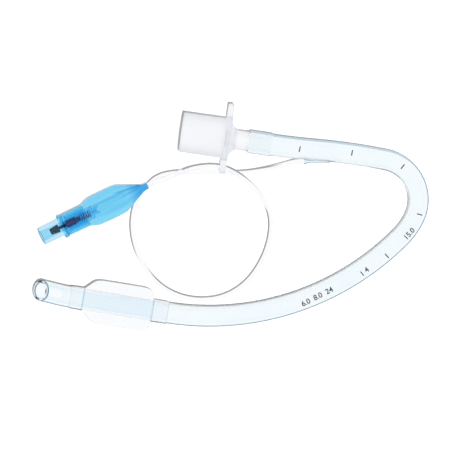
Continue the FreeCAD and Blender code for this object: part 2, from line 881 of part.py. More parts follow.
def table_normal():
    """Upward direction, in the shaft's own frame, when its three feet stand on one plane."""
    belly_back = CUFF_AT + plain(cell("distal_collar") + cell("belly_length") - cell("back_round"))
    flange_foot = cell("nipple_length") + cell("funnel_length") + cell("flange_ease")
    flange_place = frame_at(SHAFT_LENGTH + flange_foot.number)
    flange_radius = plain((cell("cone_mouth_od") + cell("cone_rise")) / 2 + cell("flange_rim"))
    bend_start = sum(stretch_length(stretch) for stretch in PATH[:4])
    bend_end = bend_start + sum(stretch_length(stretch) for stretch in PATH[4:7])
    stations = [bend_start + (bend_end - bend_start) * step / 200 for step in range(201)]
    up = V(0, 0, 1)
    for _ in range(12):
        belly_foot = rim_foot(up, frame_at(belly_back), cell("cuff_od").number / 2)
        plate_foot = rim_foot(up, flange_place, flange_radius)
        bends = [rim_foot(up, frame_at(station), tube_radius.number) for station in stations]
        bend_foot = min(bends, key=up.dot)
        up = (plate_foot - belly_foot).cross(bend_foot - belly_foot).normalize()
        if up.z < 0:
            up = up * -1
    return up


def lowest(shape):
    return shape.optimalBoundingBox(False, False).ZMin


shaft = make_shaft()
cuff = make_cuff()
connector = make_connector()
line_root = make_line_root()
luer_port = make_luer_port()
valve_body = make_valve_body()
plunger = make_plunger()
seal = make_seal()
spring = make_spring()
balloon, nose_end = make_balloon()

# The shaft lies on its bend, the cuff's belly and the flange
up = table_normal()
level = FreeCAD.Rotation(up, V(0, 0, 1))
forward = level.multVec(V(1, 0, 0))
heading_now = math.degrees(math.atan2(forward.y, forward.x))
aim = FreeCAD.Rotation(V(0, 0, 1), cell("tip_heading").number - heading_now)
rest = FreeCAD.Placement(V(cell("tip_x").number, cell("tip_y").number, 0), aim * level)
laid = (
    (shaft, FreeCAD.Placement()),
    (cuff, frame_at(CUFF_AT)),
    (connector, machine_end),
    (line_root, root_frame),
)
for item, place in laid:
    item.Placement = rest * place
lift = -min(lowest(item.Shape) for item in (shaft, cuff, connector))
rest.Base.z = lift
for item, place in laid:
    item.Placement = rest * place

port_turn = FreeCAD.Rotation(V(0, 0, 1), cell("port_heading").number)
port_place = V(cell("port_x").number, cell("port_y").number, collar_radius.number)
valve_place = FreeCAD.Placement(port_place, port_turn)
for item in (luer_port, valve_body, plunger, seal, spring, balloon):
    item.Placement = valve_place

# Inflation line: straight runs between these points, joined by tangent arcs
CORD_POINTS = [
    (20.1, 20.1, 5.7),
    (13.2, 18.7, 2.8),
    (4.8, 17.5, 1.0),
    (-4.8, 17.5, 1.0),
    (-13.9, 17.8, 1.0),
    (-22.3, 17.8, 1.0),
    (-29.2, 16.1, 1.0),
    (-34.2, 10.8, 1.0),
    (-37.9, 4.2, 1.0),
    (-38.8, -3.6, 1.0),
    (-37.3, -11.6, 1.0),
    (-33.4, -19.6, 1.0),
    (-28.2, -25.7, 1.0),
    (-21.1, -30.0, 1.0),
    (-12.4, -31.8, 1.0),
    (-2.9, -30.6, 1.0),
    (5.4, -25.6, 1.0),
    (11.4, -17.6, 1.0),
    (15.0, -8.1, 1.0),
    (15.4, 1.5, 1.0),
    (11.3, 9.2, 1.2),
    (3.6, 16.5, 3.6),
    (-4.4, 20.3, 2.9),
    (-14.1, 19.7, 3.1),
    (-21.2, 16.8, 3.5),
    (-25.5, 14.6, 4.2),
]


def cord_corners():
    """Every corner of the line, from the root's end to the balloon's nose."""
    out_place = rest * root_frame
    start = out_place.multVec(V(root_end.number, 0, 0))
    first = out_place.multVec(V((root_end + cell("exit_run")).number, 0, 0))
    nose = valve_place.multVec(V(nose_end.number, 0, 0))
    last = valve_place.multVec(V((nose_end + cell("nose_run")).number, 0, 0))
    return [start, first] + [V(*point) for point in CORD_POINTS] + [last, nose]


def cord_path(corners):
    """One wire of straight runs and tangent arcs; prints each arc's radius."""
    edges = []
    radii = []
    at = corners[0]
    for before, corner, after in zip(corners, corners[1:], corners[2:]):
        way_in = (corner - before).normalize()
        way_out = (after - corner).normalize()
        turn = way_in.getAngle(way_out)
        reach = 0.45 * min(before.distanceToPoint(corner), corner.distanceToPoint(after))
        radius = reach / math.tan(turn / 2)
        radii.append(round(radius, 1))
        start = corner - way_in * reach
        end = corner + way_out * reach
        toward = (way_out - way_in).normalize()
        middle = corner + toward * (math.hypot(reach, radius) - radius)
        edges.append(Part.LineSegment(at, start).toShape())
        edges.append(Part.Arc(start, middle, end).toShape())
        at = end
    edges.append(Part.LineSegment(at, corners[-1]).toShape())
    print("line arc radii", radii)
    return Part.Wire(edges)


corners = cord_corners()
route = doc.addObject("Part::Feature", "line_route")
route.Shape = cord_path(corners)
ring = doc.addObject("Part::Circle", "line_ring")
ring.Radius = line_radius.number
ring.setExpression("Radius", line_radius.text)
first_way = (corners[1] - corners[0]).normalize()
ring.Placement = FreeCAD.Placement(corners[0], FreeCAD.Rotation(V(0, 0, 1), first_way))
line = doc.addObject("Part::Sweep", "inflation_line")
line.Label = "inflation_line"
line.Sections = [ring]
line.Spine = (route, [f"Edge{index}" for index in range(1, len(route.Shape.Edges) + 1)])
line.Solid = True
line.Frenet = False
doc.recompute()
section = math.pi * line_radius.number ** 2
print("line length", round(route.Shape.Length, 2),
      "volume against section x length", round(line.Shape.Volume / (section * route.Shape.Length), 5))
for corner in corners:
    print("line point", round(corner.x, 2), round(corner.y, 2), round(corner.z, 2))

pieces = [shaft, cuff, connector, line_root, line, balloon, luer_port, valve_body, plunger, seal, spring]
faults = [obj.Name for obj in doc.Objects if "Invalid" in obj.State or "Error" in obj.State]
faults += [item.Label for item in pieces if item.Shape.isNull() or not item.Shape.isValid()]
faults += [item.Label for item in pieces if len(item.Shape.Solids) != 1]
if faults:
    raise RuntimeError("not exported, faulty: " + ", ".join(faults))
os.makedirs("parts", exist_ok=True)
for item in pieces:
    item.Shape.exportStep(f"parts/{item.Label}.step")
    print("exported", item.Label, round(item.Shape.Volume, 2))
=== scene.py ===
import bpy
import bmesh
import json
import math
from mathutils import Euler, Matrix, Vector, noise
from mathutils.bvhtree import BVHTree


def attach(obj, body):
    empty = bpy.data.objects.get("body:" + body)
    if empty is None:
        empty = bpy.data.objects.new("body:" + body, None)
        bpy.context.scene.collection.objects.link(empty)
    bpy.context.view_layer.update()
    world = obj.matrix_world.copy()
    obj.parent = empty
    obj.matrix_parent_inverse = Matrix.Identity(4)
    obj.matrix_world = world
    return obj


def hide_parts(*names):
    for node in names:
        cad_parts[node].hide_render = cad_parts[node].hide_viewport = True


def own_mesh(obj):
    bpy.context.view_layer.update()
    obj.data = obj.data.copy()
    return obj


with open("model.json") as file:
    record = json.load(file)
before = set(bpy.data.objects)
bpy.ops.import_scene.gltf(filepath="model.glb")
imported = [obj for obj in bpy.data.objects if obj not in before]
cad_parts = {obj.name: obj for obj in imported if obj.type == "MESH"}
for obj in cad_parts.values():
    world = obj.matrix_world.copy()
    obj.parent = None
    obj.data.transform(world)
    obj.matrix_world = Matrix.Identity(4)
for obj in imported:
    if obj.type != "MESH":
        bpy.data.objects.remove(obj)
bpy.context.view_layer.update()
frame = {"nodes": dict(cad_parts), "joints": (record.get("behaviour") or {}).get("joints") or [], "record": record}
nodes = frame["nodes"]
mounts = {mount["name"]: mount for mount in frame["record"]["mounts"]}
valveSlide = frame["joints"][0]
mm = 0.001
print("stage: frame loaded")


def addObject(name, data):
    made = bpy.data.objects.new(name, data)
    bpy.context.scene.collection.objects.link(made)
    return made


# Turns a bmesh into a mesh of one material
def meshFrom(name, shape, material):
    data = bpy.data.meshes.new(name)
    shape.to_mesh(data)
    shape.free()
    data.materials.append(material)
    return data


def smoothFaces(data):
    for face in data.polygons:
        face.use_smooth = True


def addNode(tree, kind, **values):
    made = tree.nodes.new(kind)
    for key, value in values.items():
        setattr(made, key, value)
    return made


# A socket takes either a plain value or another node's output
def feed(tree, socket, value):
    if isinstance(value, bpy.types.NodeSocket):
        tree.links.new(value, socket)
    else:
        socket.default_value = value


def newMaterial(name):
    made = bpy.data.materials.new(name)
    made.use_nodes = True
    made.node_tree.nodes.clear()
    return made, made.node_tree


def mathNode(tree, operation, *values):
    made = addNode(tree, "ShaderNodeMath", operation=operation)
    for index, value in enumerate(values):
        feed(tree, made.inputs[index], value)
    return made.outputs[0]


def vectorNode(tree, operation, first, second):
    made = addNode(tree, "ShaderNodeVectorMath", operation=operation)
    feed(tree, made.inputs[0], first)
    feed(tree, made.inputs[1], second)
    return made.outputs["Value" if operation == "DOT_PRODUCT" else "Vector"]


# Sockets 6 and 7 are the two that take colours
def mixColour(tree, factor, first, second):
    made = addNode(tree, "ShaderNodeMix", data_type="RGBA")
    for index, value in ((0, factor), (6, first), (7, second)):
        feed(tree, made.inputs[index], value)
    return made.outputs[2]


def mixShader(tree, factor, first, second):
    made = addNode(tree, "ShaderNodeMixShader")
    for index, value in enumerate((factor, first, second)):
        feed(tree, made.inputs[index], value)
    return made.outputs[0]


def spanNode(tree, value, low, high):
    made = addNode(tree, "ShaderNodeMapRange", interpolation_type="SMOOTHSTEP")
    for label, number in (("Value", value), ("From Min", low), ("From Max", high)):
        feed(tree, made.inputs[label], number)
    return made.outputs[0]


def objectPlace(tree):
    return addNode(tree, "ShaderNodeTexCoord").outputs["Object"]


# 1 for what is seen through a clear piece or mirrored in it
def shineRays(tree):
    path = addNode(tree, "ShaderNodeLightPath")
    return mathNode(tree, "MAXIMUM", path.outputs["Is Transmission Ray"], path.outputs["Is Glossy Ray"])


def newGroup(name, takes, gives):
    group = bpy.data.node_groups.new(name, "ShaderNodeTree")
    for side, sockets in (("INPUT", takes), ("OUTPUT", gives)):
        for label, kind in sockets:
            group.interface.new_socket(label, in_out=side, socket_type=f"NodeSocket{kind}")
    return group, addNode(group, "NodeGroupInput"), addNode(group, "NodeGroupOutput")


def useGroup(tree, group, **values):
    made = addNode(tree, "ShaderNodeGroup")
    made.node_tree = group
    for label, value in values.items():
        feed(tree, made.inputs[label], value)
    return made.outputs[0]


# The camera looks straight down on the table, a little off the part's middle, as in the photo
view = {"x": -2.4 * mm, "y": -2.9 * mm, "height": 0.5, "lens": 103.15, "sensor": 36, "near": 0.01}
camData = bpy.data.cameras.new("camera")
camData.lens = view["lens"]
camData.sensor_width = view["sensor"]
camData.clip_start = view["near"]
camera = addObject("camera", camData)
camera.location = (view["x"], view["y"], view["height"])
bpy.context.scene.camera = camera
bpy.context.scene.view_settings.view_transform = "Standard"

# Light: a small lamp beside the camera, so that the shadows are thin and lie up and to the left
light = {
    "aside": (28 * mm, -36 * mm), "power": 10.5, "size": 7 * mm,
    "plain": (0.26, 0.25, 0.245, 1), "band": (0.62, 0.76, 0.86, 1), "top": (1, 1, 1, 1),
    "bandFrom": 0.02, "bandTo": 0.4,
}
lampData = bpy.data.lights.new("lamp", "POINT")
lampData.energy = light["power"]
lampData.shadow_soft_size = light["size"]
lamp = addObject("lamp", lampData)
lamp.location = (view["x"] + light["aside"][0], view["y"] + light["aside"][1], view["height"])
lamp.visible_glossy = False  # no hard glints of the lamp on the plastic
lamp.visible_transmission = False

# Sky: white for the camera, dim on the part, and a pale band low down that its gloss and clear walls show
world = bpy.data.worlds.new("sky")
bpy.context.scene.world = world
world.use_nodes = True
tree = world.node_tree
tree.nodes.clear()
skyPlace = addNode(tree, "ShaderNodeTexCoord")
skySplit = addNode(tree, "ShaderNodeSeparateXYZ")
feed(tree, skySplit.inputs[0], skyPlace.outputs["Generated"])
skyRise = spanNode(tree, skySplit.outputs["Z"], light["bandFrom"], light["bandTo"])
skyBand = mixColour(tree, skyRise, light["band"], light["top"])
skyTint = mixColour(tree, shineRays(tree), light["plain"], skyBand)
skyPath = addNode(tree, "ShaderNodeLightPath")
skyShade = addNode(tree, "ShaderNodeBackground")
feed(tree, skyShade.inputs[0], mixColour(tree, skyPath.outputs["Is Camera Ray"], skyTint, light["top"]))
skyOut = addNode(tree, "ShaderNodeOutputWorld")
feed(tree, skyOut.inputs[0], skyShade.outputs[0])

# Table: takes the shadow for the camera and is plain white through clear pieces
table = {"size": 1.6, "colour": (0.92, 0.92, 0.92, 1)}
tableWhite, tree = newMaterial("tableWhite")
tableDull = addNode(tree, "ShaderNodeBsdfDiffuse")
tableDull.inputs[0].default_value = table["colour"]
tableGlow = addNode(tree, "ShaderNodeEmission")
tableOut = addNode(tree, "ShaderNodeOutputMaterial")
feed(tree, tableOut.inputs[0], mixShader(tree, shineRays(tree), tableDull.outputs[0], tableGlow.outputs[0]))
shape = bmesh.new()
bmesh.ops.create_grid(shape, x_segments=1, y_segments=1, size=table["size"] / 2)
addObject("table", meshFrom("table", shape, tableWhite))
print("stage: camera, light and table")


# 1 where the surface faces one way in plan
sideEase = 0.2
sideMask, into, out = newGroup("sideMask", [("Way", "Vector"), ("Start", "Float")], [("Mask", "Float")])
normal = addNode(sideMask, "ShaderNodeNewGeometry").outputs["Normal"]
facing = vectorNode(sideMask, "DOT_PRODUCT", normal, into.outputs["Way"])
start = into.outputs["Start"]
feed(sideMask, out.inputs[0], spanNode(sideMask, facing, start, mathNode(sideMask, "ADD", start, sideEase)))

# 1 in a band across the object, between two distances from a point along a direction
bandMask, into, out = newGroup(
    "bandMask",
    [("Point", "Vector"), ("Way", "Vector"), ("Start", "Float"), ("End", "Float"), ("Soft", "Float")],
    [("Mask", "Float")])
start, end, soft = into.outputs["Start"], into.outputs["End"], into.outputs["Soft"]
offset = vectorNode(bandMask, "SUBTRACT", objectPlace(bandMask), into.outputs["Point"])
along = vectorNode(bandMask, "DOT_PRODUCT", offset, into.outputs["Way"])
rise = spanNode(bandMask, along, start, mathNode(bandMask, "ADD", start, soft))
fall = spanNode(bandMask, along, mathNode(bandMask, "SUBTRACT", end, soft), end)
stay = mathNode(bandMask, "SUBTRACT", 1.0, fall)
feed(bandMask, out.inputs[0], mathNode(bandMask, "MULTIPLY", rise, stay))

# Two tones in soft clouds, or in streaks along one way where Stretch isn't even
clouds = {"scale": 1.0, "detail": 3, "low": 0.3, "high": 0.7}
cloudTone, into, out = newGroup(
    "cloudTone",
    [("First", "Color"), ("Second", "Color"), ("Stretch", "Vector"), ("Turn", "Float")],
    [("Tone", "Color")])
turned = addNode(cloudTone, "ShaderNodeVectorRotate", rotation_type="Z_AXIS")
feed(cloudTone, turned.inputs["Vector"], objectPlace(cloudTone))
feed(cloudTone, turned.inputs["Angle"], into.outputs["Turn"])
cloud = addNode(cloudTone, "ShaderNodeTexNoise")
cloud.inputs["Scale"].default_value = clouds["scale"]
cloud.inputs["Detail"].default_value = clouds["detail"]
pulled = vectorNode(cloudTone, "MULTIPLY", turned.outputs[0], into.outputs["Stretch"])
feed(cloudTone, cloud.inputs["Vector"], pulled)
spread = spanNode(cloudTone, cloud.outputs["Fac"], clouds["low"], clouds["high"])
feed(cloudTone, out.inputs[0], mixColour(cloudTone, spread, into.outputs["First"], into.outputs["Second"]))

# Faint unevenness of moulded or drawn plastic
rippleHeight = 0.1 * mm
ripple, into, out = newGroup("ripple", [("Scale", "Float"), ("Strength", "Float")], [("Normal", "Vector")])
waves = addNode(ripple, "ShaderNodeTexNoise")
feed(ripple, waves.inputs["Vector"], objectPlace(ripple))
feed(ripple, waves.inputs["Scale"], into.outputs["Scale"])
bump = addNode(ripple, "ShaderNodeBump")
bump.inputs["Distance"].default_value = rippleHeight
feed(ripple, bump.inputs["Strength"], into.outputs["Strength"])
feed(ripple, bump.inputs["Height"], waves.outputs["Fac"])
feed(ripple, out.inputs[0], bump.outputs[0])


# Each band is (point, way, from, to, soft edge), the last three in mm
def bandOf(tree, band):
    point, way, low, high, soft = band
    return useGroup(tree, bandMask, Point=point, Way=way, Start=low * mm, End=high * mm, Soft=soft * mm)


# Product of the masks that one rim or band asks for
def maskOf(tree, spec, edge=None):
    share = spec["power"]
    if "span" in spec:
        share = mathNode(tree, "MULTIPLY", share, spanNode(tree, edge.outputs["Facing"], *spec["span"]))
    if "way" in spec:
        side = useGroup(tree, sideMask, Way=spec["way"], Start=spec["start"])
        share = mathNode(tree, "MULTIPLY", share, side)
    for band in spec.get("within", ()):
        share = mathNode(tree, "MULTIPLY", share, bandOf(tree, band))
    for zone in spec.get("except", ()):  # a zone is where all its bands meet
        cut = 1.0
        for band in zone:
            cut = mathNode(tree, "MULTIPLY", cut, bandOf(tree, band))
        share = mathNode(tree, "MULTIPLY", share, mathNode(tree, "SUBTRACT", 1.0, cut))
    return share


def clearMaterial(name, look):
    made, tree = newMaterial(name)
    body = addNode(tree, "ShaderNodeBsdfPrincipled")
    body.inputs["Roughness"].default_value = look["rough"]
    body.inputs["IOR"].default_value = look["ior"]
    body.inputs["Transmission Weight"].default_value = 1.0
    tint = useGroup(tree, cloudTone, First=look["tint"], Second=look["deep"], Turn=look.get("turn", 0.0),
                    Stretch=look["clouds"])
    edge = addNode(tree, "ShaderNodeLayerWeight")
    path = addNode(tree, "ShaderNodeLightPath")
    for spec in look.get("bands", ()):
        tint = mixColour(tree, maskOf(tree, spec), tint, spec["colour"])
    # Rims are edge lines seen by the camera alone; among them are painted shadow lines and painted reflection
    for spec in look.get("rims", ()):  # only the outermost skin has them
        share = mathNode(tree, "MULTIPLY", maskOf(tree, spec, edge), path.outputs["Is Camera Ray"])
        tint = mixColour(tree, share, tint, spec["colour"])
    feed(tree, body.inputs["Base Color"], tint)
    if "smooth" in look:
        smoother = maskOf(tree, look["smooth"])
        feed(tree, body.inputs["Roughness"], mathNode(tree, "SUBTRACT", look["rough"], smoother))
    uneven = useGroup(tree, ripple, Scale=look["rippleScale"], Strength=look["ripple"])
    feed(tree, body.inputs["Normal"], uneven)
    # Part of the lamp's light comes through to the table
    through = addNode(tree, "ShaderNodeBsdfTransparent")
    through.inputs[0].default_value = look["shadow"]
    out = addNode(tree, "ShaderNodeOutputMaterial")
    feed(tree, out.inputs["Surface"],
         mixShader(tree, path.outputs["Is Shadow Ray"], body.outputs[0], through.outputs[0]))
    if "depth" in look:
        fill = addNode(tree, "ShaderNodeVolumeAbsorption")
        fill.inputs["Color"].default_value = look["depthColour"]
        fill.inputs["Density"].default_value = look["depth"]
        feed(tree, out.inputs["Volume"], fill.outputs[0])
    return made


def dullMaterial(name, look):
    made, tree = newMaterial(name)
    body = addNode(tree, "ShaderNodeBsdfPrincipled")
    tint = useGroup(tree, cloudTone, First=look["colour"], Second=look["shade"], Stretch=look["clouds"])
    for spec in look.get("bands", ()):
        tint = mixColour(tree, maskOf(tree, spec), tint, spec["colour"])
    feed(tree, body.inputs["Base Color"], tint)
    body.inputs["Roughness"].default_value = look["rough"]
    uneven = useGroup(tree, ripple, Scale=look["rippleScale"], Strength=look["ripple"])
    feed(tree, body.inputs["Normal"], uneven)
    out = addNode(tree, "ShaderNodeOutputMaterial")
    feed(tree, out.inputs["Surface"], body.outputs[0])
    return made


# A place on the part, from its foot and its turns in degrees
def placeAt(foot, turns):
    return Matrix.LocRotScale(Vector(foot), Euler([math.radians(turn) for turn in turns]), None)


# Places that the materials and the soft pieces share: the port's mouth and way from the frame, and the
# cuff's foot and tilt as in the CAD model
valveMouth, valveWay = tuple(mounts["syringe_port"]["pos_m"]), tuple(valveSlide["axis"])
valveHeading = math.degrees(math.atan2(valveWay[1], valveWay[0]))
valvePlace = placeAt(valveMouth, (0, 0, valveHeading))
cuffPlace = placeAt((-61.1949 * mm, -30.3251 * mm, 9.8996 * mm), (1.4323, 3.2913, -9.4935))

# Where a band is measured from, and which way
alongX, alongY, alongZ = ((0, 0, 0), (1, 0, 0)), ((0, 0, 0), (0, 1, 0)), ((0, 0, 0), (0, 0, 1))
alongCuff = (tuple(cuffPlace.translation), tuple(cuffPlace.col[0][:3]))
alongValve = (valveMouth, valveWay)
cone = mounts["breathing_cone"]
alongCone = (tuple(cone["pos_m"]), tuple(-value for value in cone["axis"]))
acrossBevel = ((-75.91 * mm, -26.7635 * mm, 6.7873 * mm), (-0.72543, 0.16778, 0.66771))

# Sides of a piece in plan, and colours and bands that more than one material has
upperLeft, lowerRight, lineShaded = (-0.62, 0.78, 0.0), (0.75, -0.66, 0.0), (-0.5, 0.87, 0.0)
softShadow = (0.3, 0.3, 0.31, 1)
# edgeBlue is the dark edge line on lower-right sides: partly deeper colour along the grazing wall, partly painted
# reflection
edgeBlue, bondBlue = (0.003, 0.06, 0.15, 1), (0.25, 0.5, 0.68, 1)
connectorLeg = (*alongY, 9, 60, 4)
nearFlange = (*alongY, 11, 40, 2)

# Shaft: clear and faintly blue, a little deeper at the cuff, with thin blue edge lines that are partly painted
# reflection and a grey painted shadow line
pvc = clearMaterial("clearPvc", {
    "rough": 0.03, "ior": 1.45, "clouds": (60, 60, 60), "ripple": 0.1, "rippleScale": 180,
    "tint": (0.955, 0.985, 0.998, 1), "deep": (0.935, 0.975, 0.995, 1), "shadow": softShadow,
    "rims": (
        # Blue edge lines, these three: partly the deeper colour along the grazing wall, partly painted reflection
        {"span": (0.42, 0.62), "power": 0.35, "colour": (0.22, 0.5, 0.66, 1)},
        {"span": (0.5, 0.62), "power": 1.0, "way": lowerRight, "start": -0.2, "colour": edgeBlue,
         "except": ((connectorLeg, (*alongX, -20, 58, 8)),)},
        {"span": (0.36, 0.5), "power": 0.75, "way": (0, 1, 0), "start": 0.5,
         "colour": (0.03, 0.25, 0.45, 1), "within": (connectorLeg,)},
        # Painted shadow: a grey line on the upper-left sides, the sides away from the lamp
        {"span": (0.52, 0.66), "power": 0.9, "way": upperLeft, "start": 0.3,
         "colour": (0.10, 0.09, 0.085, 1),
         "within": ((*alongX, -25, 200, 6),), "except": (((*alongY, 16, 60, 6),),)},
    ),
    "bands": (
        {"power": 1.0, "colour": (0.905, 0.96, 0.99, 1), "within": ((*alongCuff, 4.9, 31.5, 0.3),)},
        {"power": 0.8, "colour": (0.92, 0.968, 0.99, 1), "within": ((*alongCuff, -30, 4.9, 0.3),)},
        {"power": 1.0, "colour": (0.005, 0.07, 0.16, 1), "within": ((*acrossBevel, -0.42, 0.0, 0.06),)},
    ),
})

# Inflation line: clear, with a grey painted shadow line on its shaded side, but not where it rises or runs under
# itself
linePvc = clearMaterial("linePvc", {
    "rough": 0.04, "ior": 1.3, "clouds": (90, 90, 90), "ripple": 0.1, "rippleScale": 300,
    "tint": (0.975, 0.98, 0.99, 1), "deep": (0.955, 0.965, 0.985, 1), "shadow": softShadow,
    "rims": (
        {"span": (0.3, 0.6), "power": 0.25, "colour": (0.5, 0.56, 0.62, 1)},
        # Painted shadow: a grey line on the side away from the lamp
        {"span": (0.04, 0.14), "power": 0.95, "way": lineShaded, "start": -0.02,
         "colour": (0.085, 0.075, 0.075, 1),
         "except": (
             (nearFlange, (*alongZ, -3, 2.1, 0.1), (*alongX, -16, 2.5, 1)),
             (nearFlange, (*alongZ, 2, 9, 0.1), (*alongX, -40, -18.5, 1)),
             (nearFlange, (*alongZ, 2.5, 12, 1), (*alongX, 14, 60, 7)),
         )},
    ),
})

# The line's drawn-down end in the shaft's notch
rootPvc = clearMaterial("rootPvc", {
    "rough": 0.05, "ior": 1.2, "clouds": (200, 200, 200), "ripple": 0.2, "rippleScale": 500,
    "tint": (0.9, 0.955, 0.985, 1), "deep": (0.86, 0.94, 0.98, 1), "shadow": softShadow,
    "rims": ({"span": (0.1, 0.3), "power": 1.0, "colour": (0.008, 0.1, 0.25, 1)},),
})

# Cuff: nearly colourless film, with a line where each sleeve's bond ends, and on the sleeves' lower-right sides a
# dark edge line that is partly painted reflection
cuffFilm = clearMaterial("cuffFilm", {
    "rough": 0.04, "ior": 1.15, "clouds": (50, 50, 50), "ripple": 0.2, "rippleScale": 90,
    "tint": (0.985, 0.99, 0.997, 1), "deep": (0.965, 0.978, 0.992, 1), "shadow": (0.55, 0.54, 0.54, 1),
    "rims": (
        {"span": (0.75, 1.0), "power": 0.5, "colour": (0.45, 0.62, 0.75, 1)},
        # Dark edge line on the sleeves' lower-right sides: partly deeper colour along the grazing wall, partly
        # painted reflection
        {"span": (0.5, 0.62), "power": 1.0, "way": lowerRight, "start": -0.2, "colour": edgeBlue,
         "except": (((*alongCuff, 4.9, 31.8, 0.2),),)},
    ),
    "bands": (
        {"power": 0.45, "colour": bondBlue, "within": ((*alongCuff, 4.75, 5.2, 0.12),)},
        {"power": 0.35, "colour": bondBlue, "within": ((*alongCuff, 31.45, 31.9, 0.1),)},
    ),
})

# Connector: frosted, milky in its depth, smoother and paler at the nipple
frost = clearMaterial("frostedPolypropylene", {
    "rough": 0.42, "ior": 1.18, "clouds": (120, 120, 120), "ripple": 0.15, "rippleScale": 400,
    "tint": (0.99, 0.992, 1, 1), "deep": (0.98, 0.984, 0.998, 1), "shadow": (0.3, 0.3, 0.3, 1),
    "depth": 9.0, "depthColour": (0.0, 0.18, 0.58, 1),
    "smooth": {"power": 0.4, "within": ((*alongCone, 12.2, 24.6, 0.3),)},
    "bands": ({"power": 1.0, "colour": (0.995, 0.998, 1, 1), "within": ((*alongCone, 6.6, 24.6, 1),)},),
})


# Painted shade along a crease on the balloon: a span along it, and a narrow band whose way slants across it
def creaseShadeLine(power, colour, span, slant, across):
    bands = ((*alongValve, *span), (valveMouth, slant, *across))
    return {"power": power, "colour": colour, "within": bands}


# Pilot balloon: blue film in streaks, deeper at its gathered nose, with painted shade in its creases and painted
# light on the flank towards the lamp
creaseShadeBlue, noseCreaseShadeBlue = (0.06, 0.5, 0.8, 1), (0.05, 0.4, 0.75, 1)
blueFilm = clearMaterial("blueFilm", {
    "rough": 0.04, "ior": 1.12, "clouds": (30, 420, 420), "turn": -math.radians(valveHeading),
    "tint": (0.52, 0.84, 0.965, 1), "deep": (0.37, 0.755, 0.94, 1), "ripple": 0.3, "rippleScale": 150,
    "shadow": (0.76, 0.74, 0.72, 1),
    "rims": ({"span": (0.6, 0.95), "power": 0.75, "colour": (0.05, 0.35, 0.62, 1)},),
    "bands": (
        {"power": 0.68, "colour": (0.16, 0.56, 0.88, 1), "within": ((*alongValve, 36, 60, 6),)},
        # Painted light: a paler patch on the balloon's lower-right flank, the side towards the lamp
        {"power": 0.6, "colour": (0.6, 0.9, 0.99, 1),
         "within": ((valveMouth, (0.38, -0.925, 0), 1.5, 9, 4),)},
        # Painted shade in the creases
        creaseShadeLine(0.5, creaseShadeBlue, (20, 37, 3), (-0.432, 0.902, 0), (1.6, 2.4, 0.35)),
        creaseShadeLine(0.4, creaseShadeBlue, (24, 36, 4), (-0.36, 0.933, 0), (-3.9, -3.2, 0.3)),
        creaseShadeLine(0.5, noseCreaseShadeBlue, (31, 45, 3), (-0.30, 0.954, 0), (7.0, 7.7, 0.3)),
        creaseShadeLine(0.45, noseCreaseShadeBlue, (33, 44, 3), (-0.52, 0.854, 0), (-3.6, -3.0, 0.3)),
    ),
})

# Port and spring chamber: pale blue, darker at the mouth and at the collar
bluePlastic = clearMaterial("bluePlastic", {
    "rough": 0.06, "ior": 1.3, "clouds": (70, 70, 70), "ripple": 0.1, "rippleScale": 200,
    "tint": (0.56, 0.84, 0.965, 1), "deep": (0.50, 0.80, 0.95, 1), "shadow": (0.8, 0.8, 0.8, 1),
    "rims": ({"span": (0.5, 0.75), "power": 0.8, "colour": (0.03, 0.32, 0.55, 1)},),
    "bands": (
        {"power": 0.8, "colour": (0.05, 0.3, 0.4, 1), "within": ((*alongValve, -0.3, 0.3, 0.1),)},
        {"power": 0.9, "colour": (0.10, 0.62, 0.93, 1), "within": ((*alongValve, 8.5, 9.95, 0.15),)},
        {"power": 0.9, "colour": (0.02, 0.25, 0.62, 1), "within": ((*alongValve, 9.45, 10.1, 0.15),)},
    ),
})

# Plunger: charcoal at its head; inside the valve it is red, as the washer and the coil are, and so looks
# purple through the blue
charcoal = dullMaterial("charcoalPlastic", {
    "colour": (0.008, 0.014, 0.02, 1), "shade": (0.015, 0.022, 0.03, 1), "clouds": (900, 900, 900),
    "rough": 0.5, "ripple": 0.2, "rippleScale": 900,
    "bands": ({"power": 1.0, "colour": (0.75, 0.05, 0.14, 1), "within": ((*alongValve, 10.5, 30, 1.2),)},),
})
rubber = dullMaterial("sealRubber", {
    "colour": (0.6, 0.04, 0.12, 1), "shade": (0.5, 0.03, 0.1, 1), "clouds": (1200, 1200, 1200),
    "rough": 0.7, "ripple": 0.3, "rippleScale": 1200,
})
steel = dullMaterial("springSteel", {
    "colour": (1, 0.07, 0.16, 1), "shade": (0.9, 0.05, 0.12, 1), "clouds": (1500, 1500, 1500),
    "rough": 0.35, "ripple": 0.1, "rippleScale": 1500,
})
ink = dullMaterial("markInk", {
    "colour": (0.035, 0.038, 0.05, 1), "shade": (0.06, 0.063, 0.08, 1), "clouds": (700, 700, 700),
    "rough": 0.6, "ripple": 0.1, "rippleScale": 800,
})
print("stage: materials")

# The solids that stay in view take their material and keep their moulded edges
sharpFrom = math.radians(32)
dressing = {
    "tube_shaft": pvc, "connector": frost, "line_root": rootPvc, "luer_port": bluePlastic,
    "valve_body": bluePlastic, "valve_plunger": charcoal, "valve_seal": rubber,
}
for name, material in dressing.items():
    data = nodes[name].data
    data.materials.clear()
    data.materials.append(material)
    smoothFaces(data)
    data.set_sharp_from_angle(angle=sharpFrom)

